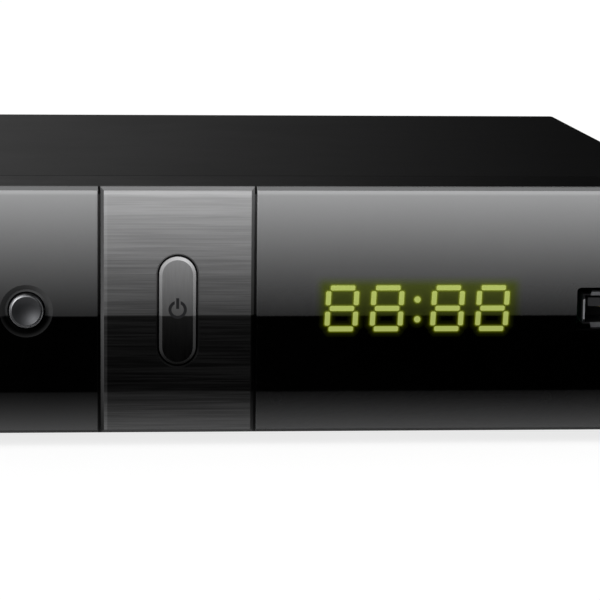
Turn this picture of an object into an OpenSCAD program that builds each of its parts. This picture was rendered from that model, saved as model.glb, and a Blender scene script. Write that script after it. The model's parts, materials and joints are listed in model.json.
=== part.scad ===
// Digital TV receiver: a steel tray and cover behind a moulded front with three panels.
// x runs across the front, y runs from the front to the back, and z runs up from the surface under the feet.

/* [Case] */
// Width across the front and the cover
body_w = 194; // [190:1:230]
// Height of the front, without the feet
front_h = 46; // [44:1:60]
// Depth from the face of the front panels to the back of the cover
case_d = 150; // [148:1:200]
// Height at which the feet hold the front above the surface
foot_h = 3; // [2:0.5:6]
// Thickness of the steel sheet
sheet_t = 0.8; // [0.6:0.1:1]
// Outside radius of the long bends of the cover
cover_bend_r = 2; // [1.6:0.1:3]
// Height of the tray's side flanges
flange_h = 14; // [12:0.5:16]
// Height of the cover's rear lip
lip_h = 9; // [8:0.5:11]
// Gap between the cover and the front moulding
seam_gap = 0.4; // [0.2:0.1:1]
// Gap between lapped sheets
lap_gap = 0.15; // [0.1:0.05:0.3]

/* [Front moulding and panels] */
// Depth of the front moulding, from the face of the panels
bezel_d = 19; // [17:0.5:22]
// Wall thickness of the moulding
wall = 2; // [1.6:0.1:2.4]
// Thickness of the front panels
panel_t = 2; // [1.6:0.1:2.4]
// Bevel on the outer edges of the panels
panel_bevel = 0.6; // [0.3:0.1:1]
// Width of the centre plate
centre_w = 28.4; // [26:0.2:34]
// Groove between neighbouring panels
groove_w = 0.5; // [0.4:0.1:1.2]
// How far the moulding reaches below the panels
bezel_drop = 0.3; // [0:0.1:0.6]

/* [Buttons] */
// Width of the power button
power_w = 6.8; // [6:0.1:8]
// Height of the power button
power_h = 20.2; // [18:0.2:24]
// How far the power button stands proud of its plate
power_proud = 0.5; // [0.3:0.1:0.8]
// Bevel round the power button
power_bevel = 0.55; // [0.3:0.05:0.8]
// Diameter of the select button
select_d = 6.4; // [5:0.1:7.2]
// Distance of the select button from the middle of the front
select_x = 27.9; // [25:0.1:32]
// Diameter of the well round the select button, at its mouth
well_d = 9.8; // [9:0.1:11]
// Depth of that well
well_depth = 1.2; // [0.8:0.1:1.4]
// Gap round a button
button_gap = 0.35; // [0.3:0.05:0.6]
// Bevel round the power button's hole
hole_bevel = 0.25; // [0:0.05:0.4]
// Travel of a button
button_travel = 0.5; // [0.3:0.1:0.8]

/* [Display and USB socket] */
// Distance of the display from the middle of the front
display_x = 45; // [42:0.5:48]
// Height of a digit
digit_h = 8.7; // [8:0.1:10]
// Width of a digit
digit_w = 6.2; // [5.6:0.1:6.6]
// Width of a lit bar
bar_w = 0.95; // [0.8:0.05:1.2]
// Spacing of the digits in a pair
digit_pitch = 8.5; // [8.3:0.1:9]
// Spacing of the two digits beside the colon
colon_pitch = 11.4; // [11:0.1:12.4]
// Lean of the digits, in degrees
digit_lean = 2.5; // [0:0.5:8]
// Distance of the USB socket from the right end of the front
usb_inset = 14.2; // [12:0.1:16]

/* [Boards] */
// Thickness of a circuit board
board_t = 1.6; // [1.2:0.1:1.8]
// Height of the spacers under the main and power boards
standoff_h = 5; // [4:0.5:7]
// Width of the main board
main_w = 124; // [120:0.5:125]
// Width of the power board
power_board_w = 34; // [34:0.5:35]
// Depth of the main and power boards
boards_d = 106; // [104:0.5:110]

/* [Rear sockets] */
// How far the aerial sockets stand out of the rear wall
aerial_reach = 10; // [9.6:0.1:12]
// Outside diameter of the aerial input
aerial_d = 9.4; // [9.2:0.1:9.6]
// Outside diameter of a phono socket's barrel
phono_d = 8.3; // [8.2:0.1:8.6]
// Spacing of the phono sockets
phono_pitch = 14; // [13:0.2:14.6]
// Spacing of the aerial sockets
aerial_pitch = 18; // [16:0.5:19]

/* [Mains] */
// Spacing of the mains inlet's pins
mains_pitch = 8.6; // [8.2:0.1:9]
// Tilt of the rocker to either side of level, in degrees
rocker_tilt = 9; // [6:0.5:11]
// Width of the rocker
rocker_w = 8.4; // [7.6:0.1:8.6]
// Length of the rocker
rocker_l = 13.2; // [12:0.2:13.6]

/* [Feet and vents] */
// Diameter of a foot
foot_d = 13; // [11:0.5:16]
// Number of vent slots in a row on each side of the cover
side_vents = 14; // [8:1:18]
// Length of a vent slot
vent_l = 10; // [8:0.5:10.5]
// Width of a vent slot
vent_w = 2.2; // [1.6:0.1:2.8]
// Spacing of the vent slots
vent_pitch = 5.2; // [4.6:0.1:5.6]

/* [Hidden] */
$fn = 64;

// Heights
top_z = foot_h + front_h;
mid_z = foot_h + front_h / 2;
floor_z = foot_h + 0.6;
floor_top = floor_z + sheet_t;
board_z = floor_top + standoff_h;
board_top = board_z + board_t;

// Depths, counted back from the face of the front panels
cover_y0 = bezel_d + seam_gap;
rear_y = case_d - sheet_t - lap_gap;
rear_in = rear_y - sheet_t;
wall_y = panel_t + wall;
front_y = (power_proud - rear_y - aerial_reach) / 2;

// Widths
half_w = body_w / 2;
tray_half = half_w - sheet_t - lap_gap;
tray_in = tray_half - sheet_t;
panel_split = centre_w / 2 + groove_w;

// Small fits and edges
edge_break = 0.15;
slip = 0.1;
running_gap = 0.06;
seat_gap = 0.3;

// Outlines
function arc(c, r, a0, a1, n = 8) =
    [for (i = [0:n]) let (a = a0 + (a1 - a0) * i / n) c + r * [cos(a), sin(a)]];
function stadium(w, h, n = 24) = concat(
    arc([0, (h - w) / 2], w / 2, 0, 180, n),
    arc([0, (w - h) / 2], w / 2, 180, 360, n));
function around(c, size) = [c - size / 2, c + size / 2];

// A slot with round ends, standing upright
module slot_shape(w, h) {
    square([w, h - w], center = true);
    for (side = [-1, 1]) translate([0, side * (h - w) / 2]) circle(d = w);
}

// A rectangle with round corners
module rounded_shape(w, h, r) {
    square([w, h - 2 * r], center = true);
    square([w - 2 * r, h], center = true);
    for (sx = [-1, 1], sy = [-1, 1]) translate([sx * (w / 2 - r), sy * (h / 2 - r)]) circle(r = r);
}

// Placing and extruding
module placed() translate([0, front_y, 0]) children();
module along_y(y0, y1) translate([0, y1, 0]) rotate([90, 0, 0]) linear_extrude(y1 - y0) children();
module along_x(x0, x1) translate([x0, 0, 0]) rotate([90, 0, 90]) linear_extrude(x1 - x0) children();
module along_z(z0, z1) translate([0, 0, z0]) linear_extrude(z1 - z0) children();
module block(x, y, z) translate([x[0], y[0], z[0]]) cube([x[1] - x[0], y[1] - y[0], z[1] - z[0]]);
module rod_x(r, x0, x1) translate([x0, 0, 0]) rotate([0, 90, 0]) cylinder(r = r, h = x1 - x0);
module rod_y(r, y0, y1) translate([0, y1, 0]) rotate([90, 0, 0]) cylinder(r = r, h = y1 - y0);
module rod_z(r, z0, z1) translate([0, 0, z0]) cylinder(r = r, h = z1 - z0);
module turned_y(profile) rotate([-90, 0, 0]) rotate_extrude() polygon(profile);

// Screws

screw_d = 3;
screw_head_d = 5.6;
screw_head_h = 1.8;
clear_hole_r = screw_d / 2 + 0.2;
tap_hole_r = screw_d / 2 + 0.05;
small_screw_d = 2.4;
small_head_d = 4.4;
small_head_h = 1.5;
small_screw_len = 7;
cross_w = 0.7;
cross_depth = 0.9;

// A pan-head screw that points down, with the underside of its head at z 0
module screw(d, head_d, head_h, len) difference() {
    union() {
        rotate_extrude() polygon([
            [0, -len], [d / 2 - 0.3, -len], [d / 2, 0.3 - len], [d / 2, 0],
            [head_d / 2, 0], [head_d / 2, head_h * 0.55], [head_d * 0.4, head_h * 0.9],
            [head_d * 0.25, head_h], [0, head_h]]);
    }
    for (turn = [0, 90])
        rotate(turn) block(around(0, head_d * 0.55), around(0, cross_w), [head_h - cross_depth, head_h + 1]);
}

// Layout of the inside

boards_y1 = rear_in - 0.3;
boards_y0 = boards_y1 - boards_d;
main_x1 = tray_in - 7.25;
main_x0 = main_x1 - main_w;
power_x0 = 3.25 - tray_in;
power_x1 = power_x0 + power_board_w;
tuner_w = 34;
tuner_d = 48;
tuner_h = 14;
hdmi_x = main_x1 - tuner_w - 10;
main_posts = [
    [main_x0 + 4, boards_y0 + 4], [main_x1 - 4, boards_y0 + 4],
    [main_x0 + 4, boards_y1 - 8], [hdmi_x + 4, boards_y1 - 22]];
power_posts = [
    [power_x0 + 3.2, boards_y0 + 4], [power_x1 - 3.2, boards_y0 + 4],
    [power_x0 + 3.2, boards_y0 + 62], [power_x1 - 3.2, boards_y1 - 8]];
all_posts = concat(main_posts, power_posts);
post_d = 6;

// Rear sockets
socket_z = board_top + 7;
aerial_in_x = main_x1 - tuner_w / 2 - aerial_pitch / 2;
aerial_out_x = aerial_in_x + aerial_pitch;
aerial_out_d = 10.3;
aerial_hole_d = 10.9;
hdmi_wall = 0.45;
hdmi_z = board_top + 2.3 + hdmi_wall;
phono_x = [for (i = [0:3]) hdmi_x - 18 - i * phono_pitch];
phono_neck_d = 10.4;
phono_seat_y = rear_y + 1;
phono_end_y = rear_y + 9.4;
phono_wall = 0.65;
phono_block_d = 11;
phono_block_h = 13.6;

// Mains
inlet_w = 19;
inlet_h = 13.5;
inlet_in = 14;
inlet_reach = 1.2;
inlet_depth = 12;
inlet_x = power_x0 + 16;
inlet_z = board_top + inlet_h / 2;
switch_x = (power_x1 + main_x0) / 2;
switch_z = board_top + 11;
switch_w = 10.5;
switch_h = 16;
switch_in = 11;
switch_rim = 1.6;
pivot_y = rear_y + 0.2;
trunnion_r = 1;

// Case

side_screw_y = [40, case_d - 24];
side_screw_z = floor_z + flange_h - 4;
cover_screw_len = 5;
lip_screw_x = [-half_w * 0.7, 0, half_w * 0.7];
lip_screw_z = top_z - lip_h / 2;
vent_y0 = case_d / 2 - (side_vents - 1) * vent_pitch / 2 + 6;
vent_rows_z = [mid_z - 0.5, mid_z + vent_l + 2];
rear_vents = 18;
rear_vent_x0 = main_x0 + 6;
rear_vent_z = top_z - lip_h - vent_l / 2 - 2.5;
floor_vents = 14;
floor_vent_l = 24;
foot_x = half_w - 19;
foot_y = [32, case_d - 24];
foot_plug_r = 2.5;
hook_x = half_w * 0.62;
hook_w = 8;
hook_z = floor_top + 2;
hook_t = 1.6;
front_flange_h = 12;
tray_bend_r = 1.4;

// The whole front, seen from the front
module front_outline() translate([0, mid_z]) rounded_shape(body_w, front_h, cover_bend_r);

// The cover's section, grown inwards by t, down to z0
module cover_section(t, z0) {
    corner = [half_w - cover_bend_r, top_z - cover_bend_r];
    translate([t - half_w, z0]) square([body_w - 2 * t, corner[1] - z0]);
    translate([-corner[0], z0]) square([2 * corner[0], top_z - t - z0]);
    for (side = [-1, 1]) translate([side * corner[0], corner[1]]) circle(r = cover_bend_r - t);
}

module top_cover() color([0.09, 0.09, 0.10]) placed() difference() {
    union() {
        along_y(cover_y0, case_d) difference() {
            cover_section(0, floor_z);
            cover_section(sheet_t, floor_z - 1);
        }
        along_y(case_d - sheet_t, case_d) cover_section(0, top_z - lip_h);
    }
    for (side = [-1, 1], y = side_screw_y)
        translate([side * half_w, y, side_screw_z]) rod_x(clear_hole_r, -2, 2);
    for (x = lip_screw_x)
        translate([x, case_d, lip_screw_z]) rod_y(clear_hole_r, -2, 2);
    for (side = [-1, 1], z = vent_rows_z, i = [0:side_vents - 1])
        translate([side * half_w, vent_y0 + i * vent_pitch, z])
            along_x(-2, 2) slot_shape(vent_w, vent_l);
}

// The tray's section, grown inwards by t, up to z1
module tray_section(t, z1) {
    corner = [tray_half - tray_bend_r, floor_z + tray_bend_r];
    translate([t - tray_half, corner[1]]) square([2 * (tray_half - t), z1 - corner[1]]);
    translate([-corner[0], floor_z + t]) square([2 * corner[0], z1 - floor_z - t]);
    for (side = [-1, 1]) translate([side * corner[0], corner[1]]) circle(r = tray_bend_r - t);
}

// The tray seen from the side, grown inwards by t, up to z1
module tray_side(t, z1) {
    y = [cover_y0 + tray_bend_r, rear_y - tray_bend_r];
    z = floor_z + tray_bend_r;
    translate([cover_y0 + t, z]) square([rear_y - cover_y0 - 2 * t, z1 - z]);
    translate([y[0], floor_z + t]) square([y[1] - y[0], z1 - floor_z - t]);
    for (c = y) translate([c, z]) circle(r = tray_bend_r - t);
}

module chassis_tray() color([0.62, 0.63, 0.65]) placed() difference() {
    union() {
        intersection() {
            along_x(-tray_half, tray_half) difference() {
                tray_side(0, top_z);
                tray_side(sheet_t, top_z + 1);
                translate([cover_y0 - 1, floor_z + front_flange_h]) square([10, front_h]);
            }
            along_y(cover_y0 - 1, rear_y + 1) intersection() {
                cover_section(sheet_t + lap_gap, floor_z);
                tray_section(0, top_z);
            }
        }
        along_y(cover_y0 + tray_bend_r, rear_y - tray_bend_r) difference() {
            tray_section(0, floor_z + flange_h);
            tray_section(sheet_t, top_z);
        }
    }
    for (side = [-1, 1], y = side_screw_y)
        translate([side * tray_half, y, side_screw_z]) rod_x(tap_hole_r, -2, 2);
    for (x = lip_screw_x)
        translate([x, rear_y, lip_screw_z]) rod_y(tap_hole_r, -2, 2);
    for (x = [-foot_x, foot_x], y = foot_y)
        translate([x, y, floor_z]) rod_z(foot_plug_r + slip, -1, 3);
    for (x = [-hook_x, hook_x])
        block(around(x, hook_w + 1), around(cover_y0, 4), [hook_z - seat_gap, hook_z + hook_t + seat_gap]);
    for (i = [0:floor_vents - 1])
        translate([main_x0 + 18 + i * 6, case_d * 0.55, 0])
            along_z(floor_z - 1, floor_top + 1) slot_shape(vent_w, floor_vent_l);
    for (i = [0:rear_vents - 1])
        translate([rear_vent_x0 + i * vent_pitch, rear_y, rear_vent_z])
            along_y(-2, 2) slot_shape(vent_w, vent_l);
    for (x = [aerial_in_x, aerial_out_x])
        translate([x, rear_y, socket_z]) rod_y(aerial_hole_d / 2, -2, 2);
    for (x = phono_x)
        translate([x, rear_y, socket_z]) rod_y(phono_neck_d / 2 + 0.2, -2, 2);
    block(around(hdmi_x, 16), around(rear_y, 4), around(hdmi_z, 6.6));
    block(around(inlet_x, inlet_w + 0.4), around(rear_y, 4), around(inlet_z, inlet_h + 0.4));
    block(around(switch_x, switch_w + 0.3), around(rear_y, 4), around(switch_z, switch_h + 0.3));
}

module rubber_feet() color([0.06, 0.06, 0.06]) placed()
    for (x = [-foot_x, foot_x], y = foot_y)
        translate([x, y, 0]) rotate_extrude() polygon([
            [0, 0.5], [2, 0.5], [2.4, 0], [foot_d / 2 - 1, 0], [foot_d / 2 - 0.4, 0.4], [foot_d / 2, floor_z],
            [foot_plug_r, floor_z], [foot_plug_r, floor_top + slip],
            [foot_plug_r + 0.6, floor_top + slip], [foot_plug_r - 0.7, floor_top + 1.8],
            [0, floor_top + 1.8]]);

module cover_screws() color([0.16, 0.16, 0.17]) placed() {
    for (side = [-1, 1], y = side_screw_y)
        translate([side * half_w, y, side_screw_z])
            rotate([0, side * 90, 0]) screw(screw_d, screw_head_d, screw_head_h, cover_screw_len);
    for (x = lip_screw_x)
        translate([x, case_d, lip_screw_z])
            rotate([-90, 0, 0]) screw(screw_d, screw_head_d, screw_head_h, cover_screw_len);
}

// Front

front_board_y0 = wall_y + 8.5;
front_board_y1 = front_board_y0 + board_t;
front_board_x = [-45, half_w - wall - 2];
front_board_z = [foot_h + wall + 4.5, top_z - wall - 2.5];
boss_x = [front_board_x[0] + 5, front_board_x[1] - 6];
boss_z = [front_board_z[0] + 4, front_board_z[1] - 4];
boss_r = 3;
rib_x = [for (i = [-3:3]) (i + 0.5) * body_w / 8];
rib_t = 1.2;
rib_h = 7;
usb_x = half_w - usb_inset;
usb_hole = [16, 8.45];
display_z = mid_z;
display_size = [2 * digit_pitch + colon_pitch + 10.6, digit_h + 5.6];
display_y0 = panel_t + 0.4;
display_y1 = front_board_y0 - 2.6;
bar_depth = 0.8;
spacer_in = 3;
spacer_wall = 2.5;
ir_size = [6.2, 7.2];
ir_gap = 1.6;
ir_x = display_x - display_size[0] / 2 - ir_gap - ir_size[0] / 2;
select_gap = 0.3;
select_proud = 0.3;
flange_y = wall_y + seat_gap;
flange_t = 1;
key_rim = 1.3;
key_stem_r = 2;
plunger_y = front_board_y0 - 5.6;
switch_body_t = 3.5;
plunger_r = 1.75;
lip_t = 1.4;
lip_len = 4;
pin_r = 1;
left_pins_x = [-half_w + 10, -panel_split - 4];
centre_pins_z = [foot_h + 5, top_z - 5];
right_pins_x = [panel_split + 4, usb_x - 13];

// A bar of the display: centre, length, and whether it stands upright
bar_corner = 0.2;
function bar(c, l, upright) =
    let (t = bar_w / 2, e = l / 2, k = bar_corner,
         flat = [[-e, k - t], [k - e, -t], [e - k, -t], [e, k - t],
                 [e, t - k], [e - k, t], [k - e, t], [-e, t - k]])
    [for (p = flat) let (q = c + (upright ? [-p[1], p[0]] : p)) [q[0] + q[1] * tan(digit_lean), q[1]]];
bar_gap = 0.15;
bar_proud = 0.1;
across_l = digit_w - 2 * bar_w + 2 * bar_gap;
upright_l = (digit_h - 3 * bar_w) / 2 - 2 * bar_gap;
digit_x = [-colon_pitch / 2 - digit_pitch, -colon_pitch / 2, colon_pitch / 2, colon_pitch / 2 + digit_pitch];
dot_r = 0.6;
dot_z = [-0.24 * digit_h, 0.19 * digit_h];

// The lit bars and dots, from y0 to y1
module bars(y0, y1) translate([display_x, 0, display_z]) {
    for (x = digit_x) translate([x, 0, 0]) along_y(y0, y1) {
        for (z = [-1, 0, 1])
            polygon(bar([0, z * (digit_h - bar_w) / 2], across_l, false));
        for (side = [-1, 1], z = [-1, 1])
            polygon(bar([side * (digit_w - bar_w) / 2, z * (digit_h - bar_w) / 4], upright_l, true));
    }
    for (z = dot_z) translate([0, 0, z]) rod_y(dot_r, y0, y1);
}

module front_bezel() color([0.10, 0.10, 0.11]) placed() difference() {
    union() {
        along_y(panel_t, wall_y) translate([0, mid_z - bezel_drop / 2])
            rounded_shape(body_w, front_h + bezel_drop, cover_bend_r);
        along_y(panel_t, bezel_d) difference() {
            front_outline();
            translate([0, mid_z]) rounded_shape(body_w - 2 * wall, front_h - 2 * wall, 0.8);
        }
        block(around(0, body_w - 10), [bezel_d - 3, bezel_d + lip_len],
              [top_z - sheet_t - lap_gap - lip_t, top_z - sheet_t - lap_gap]);
        for (x = [-tray_half, tray_half - lip_t])
            block([x, x + lip_t], [bezel_d - 3, bezel_d + lip_len], [floor_z + flange_h + 2, top_z - 6]);
        for (x = [-hook_x, hook_x]) {
            catch_y = cover_y0 + sheet_t + 0.25;
            along_x(x - hook_w / 2, x + hook_w / 2) polygon([
                [8, foot_h + 1], [11, foot_h + 1], [11, hook_z], [catch_y, hook_z],
                [catch_y, hook_z - 1], [catch_y + 0.5, hook_z - 1], [catch_y + 2, hook_z + 0.3],
                [catch_y + 2, hook_z + hook_t], [8, hook_z + hook_t]]);
        }
        for (x = boss_x, z = boss_z)
            translate([x, 0, z]) rod_y(boss_r, wall_y - 0.5, front_board_y0);
        for (x = rib_x, edge = [[foot_h + wall / 2, 1], [top_z - wall / 2, -1]])
            along_x(x - rib_t / 2, x + rib_t / 2) polygon([
                [panel_t + wall / 2, edge[0]], [front_board_y0 - 1, edge[0]],
                [panel_t + wall / 2, edge[0] + edge[1] * rib_h]]);
    }
    translate([0, 0, mid_z]) along_y(0, wall_y + 0.5)
        slot_shape(power_w + 2 * button_gap, power_h + 2 * button_gap);
    translate([-select_x, 0, mid_z]) rod_y(select_d / 2 + select_gap, 0, wall_y + 0.5);
    block(around(display_x, display_size[0] + 2 * seat_gap), [0, wall_y + 0.5],
          around(display_z, display_size[1] + 2 * seat_gap));
    translate([ir_x, 0, mid_z]) rod_y(ir_size[0] / 2 + slip, 0, wall_y + 0.5);
    translate([usb_x, 0, mid_z]) along_y(0, wall_y + 0.5) rounded_shape(usb_hole[0], usb_hole[1], 0.8);
    for (x = boss_x, z = boss_z)
        translate([x, 0, z]) rod_y(small_screw_d / 2 + 0.05, wall_y + 1, front_board_y0 + 1);
    for (x = concat(left_pins_x, right_pins_x))
        translate([x, 0, foot_h + 6]) rod_y(pin_r + slip, 0, wall_y + 0.5);
    for (z = centre_pins_z)
        translate([0, 0, z]) rod_y(pin_r + slip, 0, wall_y + 0.5);
}

// A front panel from x0 to x1, with its end bevels
module panel(x0, x1, bevel0, bevel1) intersection() {
    along_y(0, panel_t) intersection() {
        front_outline();
        translate([x0, foot_h]) square([x1 - x0, front_h]);
    }
    along_x(x0, x1) polygon([
        [0, foot_h + panel_bevel], [panel_bevel, foot_h], [panel_t, foot_h],
        [panel_t, top_z], [panel_bevel, top_z], [0, top_z - panel_bevel]]);
    along_z(foot_h, top_z) polygon([
        [x0 + bevel0, 0], [x1 - bevel1, 0], [x1, bevel1], [x1, panel_t], [x0, panel_t], [x0, bevel0]]);
}

module locating_pin(x, z) translate([x, 0, z]) rod_y(pin_r, panel_t - 0.5, wall_y - 0.2);

module left_fascia() color([0.30, 0.31, 0.33]) placed() {
    difference() {
        panel(-half_w, -panel_split, panel_bevel, edge_break);
        translate([-select_x, 0, mid_z]) {
            turned_y([[0, -1], [well_d / 2 + 0.5, -1], [well_d / 2, 0],
                      [select_d / 2 + select_gap + 0.4, well_depth], [0, well_depth]]);
            rod_y(select_d / 2 + select_gap, 0, panel_t + 1);
        }
    }
    for (x = left_pins_x) locating_pin(x, foot_h + 6);
}

module centre_plate() color([0.55, 0.56, 0.58]) placed() {
    difference() {
        panel(-centre_w / 2, centre_w / 2, panel_bevel, panel_bevel);
        r = power_w / 2 + button_gap;
        mouth_r = r + hole_bevel + 1;
        translate([0, 0, mid_z]) round_ended([
            [0, -1], [mouth_r, -1], [r, hole_bevel], [r, panel_t + 1], [0, panel_t + 1]],
            power_h - power_w + 2 * mouth_r);
    }
    for (z = centre_pins_z) locating_pin(0, z);
}

module display_window() color([0.12, 0.12, 0.13]) placed() {
    difference() {
        panel(panel_split, half_w, edge_break, panel_bevel);
        translate([usb_x, 0, mid_z]) along_y(-1, panel_t + 1)
            rounded_shape(usb_hole[0], usb_hole[1], 0.8);
    }
    for (x = right_pins_x) locating_pin(x, foot_h + 6);
}

// An upright key with round ends, from half of its section: distance from its middle line, and depth
module round_ended(section, h) {
    reach = max([for (p = section) p[0]]);
    for (side = [-1, 1]) {
        translate([0, 0, side * (h / 2 - reach)]) turned_y(section);
        along_z(reach - h / 2, h / 2 - reach) polygon([for (p = section) [side * p[0], p[1]]]);
    }
}

module power_button() color([0.52, 0.53, 0.55]) placed() translate([0, 0, mid_z]) {
    r = power_w / 2;
    round_ended([
        [0, -power_proud], [r - power_bevel, -power_proud], [r, power_bevel - power_proud],
        [r, flange_y + flange_t / 2], [0, flange_y + flange_t / 2]], power_h);
    along_y(flange_y, flange_y + flange_t) slot_shape(power_w + 2 * key_rim, power_h + 2 * key_rim);
    rod_y(key_stem_r, flange_y + flange_t / 2, plunger_y);
}

module select_button() color([0.72, 0.73, 0.75]) placed() translate([-select_x, 0, mid_z]) difference() {
    round_r = 0.5;
    turned_y(concat(
        [[0, -select_proud]],
        [for (a = [0:30:90])
            [select_d / 2 - round_r * (1 - sin(a)), round_r * (1 - cos(a)) - select_proud]],
        [[select_d / 2, flange_y], [select_d / 2 + key_rim, flange_y],
         [select_d / 2 + key_rim, flange_y + flange_t],
         [key_stem_r, flange_y + flange_t], [key_stem_r, plunger_y], [0, plunger_y]]));
    dish_r = 0.81 * select_d;
    dish_depth = 0.11 * select_d;
    translate([0, dish_depth - select_proud - dish_r, 0]) sphere(r = dish_r, $fn = 96);
}

module switch_body(x) translate([x, 0, mid_z]) difference() {
    block([-3, 3], [front_board_y0 - switch_body_t, front_board_y0], [-3, 3]);
    rod_y(plunger_r + slip, front_board_y0 - switch_body_t - 1, front_board_y0 - 1);
}
module switch_plunger(x) translate([x, 0, mid_z])
    rod_y(plunger_r, plunger_y, front_board_y0 - 1 - button_travel - 0.7);

module power_switch() color([0.08, 0.08, 0.09]) placed() switch_body(0);
module power_switch_plunger() color([0.75, 0.72, 0.66]) placed() switch_plunger(0);
module select_switch() color([0.08, 0.08, 0.09]) placed() switch_body(-select_x);
module select_switch_plunger() color([0.75, 0.72, 0.66]) placed() switch_plunger(-select_x);

module front_board() color([0.05, 0.30, 0.16]) placed() difference() {
    block(front_board_x, [front_board_y0, front_board_y1], front_board_z);
    for (x = boss_x, z = boss_z)
        translate([x, front_board_y0, z]) rod_y(small_screw_d / 2 + 0.2, -1, 4);
}

module front_board_screws() color([0.70, 0.71, 0.73]) placed()
    for (x = boss_x, z = boss_z)
        translate([x, front_board_y1, z]) rotate([-90, 0, 0])
            screw(small_screw_d, small_head_d, small_head_h, small_screw_len);

module display_module() color([0.07, 0.07, 0.07]) placed() difference() {
    block(around(display_x, display_size[0]), [display_y0, display_y1], around(display_z, display_size[1]));
    bars(display_y0 - 1, display_y0 + bar_depth);
}

module display_segments() color([0.75, 0.82, 0.35]) placed()
    bars(display_y0 - bar_proud, display_y0 + bar_depth);

module display_spacer() color([0.15, 0.15, 0.15]) placed() difference() {
    block(around(display_x, display_size[0] - spacer_in), [display_y1, front_board_y0],
          around(display_z, display_size[1] - spacer_in));
    block(around(display_x, display_size[0] - spacer_in - 2 * spacer_wall),
          [display_y1 - 1, front_board_y0 + 1],
          around(display_z, display_size[1] - spacer_in - 2 * spacer_wall));
}

module ir_receiver() color([0.05, 0.05, 0.06]) placed() translate([ir_x, 0, mid_z]) {
    ir_d = 5.2;
    block(around(0, ir_size[0]), [front_board_y0 - ir_d, front_board_y0], around(0, ir_size[1]));
    translate([0, front_board_y0 - ir_d + 0.2, 0]) sphere(r = ir_d / 2);
}

// The USB socket's shell, measured from its own centre
usb_half = [6.25, 2.55];
usb_t = 0.3;
usb_y0 = 0.4;
usb_lip_len = 0.8;
usb_lip_out = [0.8, 1.1];
function usb_flare(y1, half, out) = [
    [y1 + 1, half], [y1, half], [usb_y0, half + out - usb_t],
    [usb_y0, half + out], [y1, half + usb_t], [y1 + 1, half + usb_t]];

module usb_shell() color([0.74, 0.75, 0.77]) placed() translate([usb_x, 0, mid_z]) {
    y1 = usb_y0 + usb_lip_len;
    along_y(y1, front_board_y0) difference() {
        square(2 * [usb_half[0] + usb_t, usb_half[1] + usb_t], center = true);
        square(2 * usb_half, center = true);
    }
    block(around(0, 2 * usb_half[0] + 0.2), [front_board_y0 - 0.4, front_board_y0],
          around(0, 2 * usb_half[1] + 0.2));
    for (side = [-1, 1]) {
        along_x(-5.2, 5.2)
            polygon([for (p = usb_flare(y1, usb_half[1], usb_lip_out[1])) [p[0], side * p[1]]]);
        along_z(-1.9, 1.9)
            polygon([for (p = usb_flare(y1, usb_half[0], usb_lip_out[0])) [side * p[1], p[0]]]);
    }
}

usb_tongue_z = [0.45, 2.05];
module usb_tongue() color([0.12, 0.12, 0.13]) placed() translate([usb_x, 0, mid_z]) {
    block(around(0, 11.2), [usb_y0 + 1.2, front_board_y0 - 2], usb_tongue_z);
    block(around(0, 12.4), [front_board_y0 - 3, front_board_y0 - 0.4], [-2.5, 2.5]);
}

module usb_contacts() color([0.85, 0.70, 0.35]) placed() translate([usb_x, 0, mid_z])
    for (x = [-3.5, -1, 1, 3.5])
        block(around(x, 1), [usb_y0 + 2, front_board_y0 - 3], [usb_tongue_z[0] - 0.2, usb_tongue_z[0]]);

// Flat cable between the front board and the main board

ribbon_x = main_x0 + 26;
ribbon_w = 12;
ribbon_t = 0.6;
ribbon_bend = 5;
ribbon_z = mid_z + 4;
plug_h = 8;
ribbon_main_y = boards_y0 + 6;

module ribbon_sockets() color([0.88, 0.86, 0.80]) placed() {
    block(around(ribbon_x, ribbon_w + 2), [front_board_y1, front_board_y1 + 5.5], around(ribbon_z, plug_h));
    block(around(ribbon_x, ribbon_w + 2), around(ribbon_main_y, 5.6), [board_top, board_top + plug_h]);
}

module front_ribbon() color([0.80, 0.80, 0.78]) placed() {
    bend_y = ribbon_main_y - ribbon_bend;
    block(around(ribbon_x, ribbon_w), [front_board_y1 + 5.5, bend_y], around(ribbon_z, ribbon_t));
    translate([ribbon_x - ribbon_w / 2, bend_y, ribbon_z - ribbon_bend])
        along_x(0, ribbon_w) polygon(concat(
            arc([0, 0], ribbon_bend + ribbon_t / 2, 0, 90, 10),
            arc([0, 0], ribbon_bend - ribbon_t / 2, 90, 0, 10)));
    block(around(ribbon_x, ribbon_w), around(ribbon_main_y, ribbon_t),
          [board_top + plug_h, ribbon_z - ribbon_bend]);
}

// Main board

processor_place = [56, 50];
processor_x = main_x0 + processor_place[0];
processor_y = boards_y0 + processor_place[1];
processor_w = 22;
processor_t = 1.8;
sink_w = 28;
sink_h = 10;
sink_base = 2.5;
sink_fins = 8;
fin_t = 1.2;
memory_size = [9, 13, 1.2];
memory_x = -27;
memory_y = [-11, 11];
flash_size = [12, 18, 1.2];
flash_y = -26;
small_can = [3.15, 8];
tall_can = [4, 11];
can_pitch = [10, 12];
near_cans = [-28, 18];
far_cans = [14, 68];

// Something that stands on the main board, placed from the processor
module by_processor(x, y) translate([processor_x + x, processor_y + y, board_top]) children();

module main_board() color([0.05, 0.32, 0.18]) placed() difference() {
    block([main_x0, main_x1], [boards_y0, boards_y1], [board_z, board_top]);
    for (p = main_posts)
        translate([p[0], p[1], board_z]) rod_z(clear_hole_r, -1, board_t + 1);
}

module standoffs() color([0.80, 0.68, 0.38]) placed()
    for (p = all_posts) translate([p[0], p[1], 0]) difference() {
        rod_z(post_d / 2, floor_top, board_z);
        rod_z(tap_hole_r, floor_top - 1, board_z + 1);
    }

module board_screws() color([0.72, 0.73, 0.75]) placed()
    for (p = all_posts) translate([p[0], p[1], board_top])
        screw(screw_d, screw_head_d, screw_head_h, board_t + standoff_h * 0.7);

module chip(size) block(around(0, size[0]), around(0, size[1]), [0, size[2]]);

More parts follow.
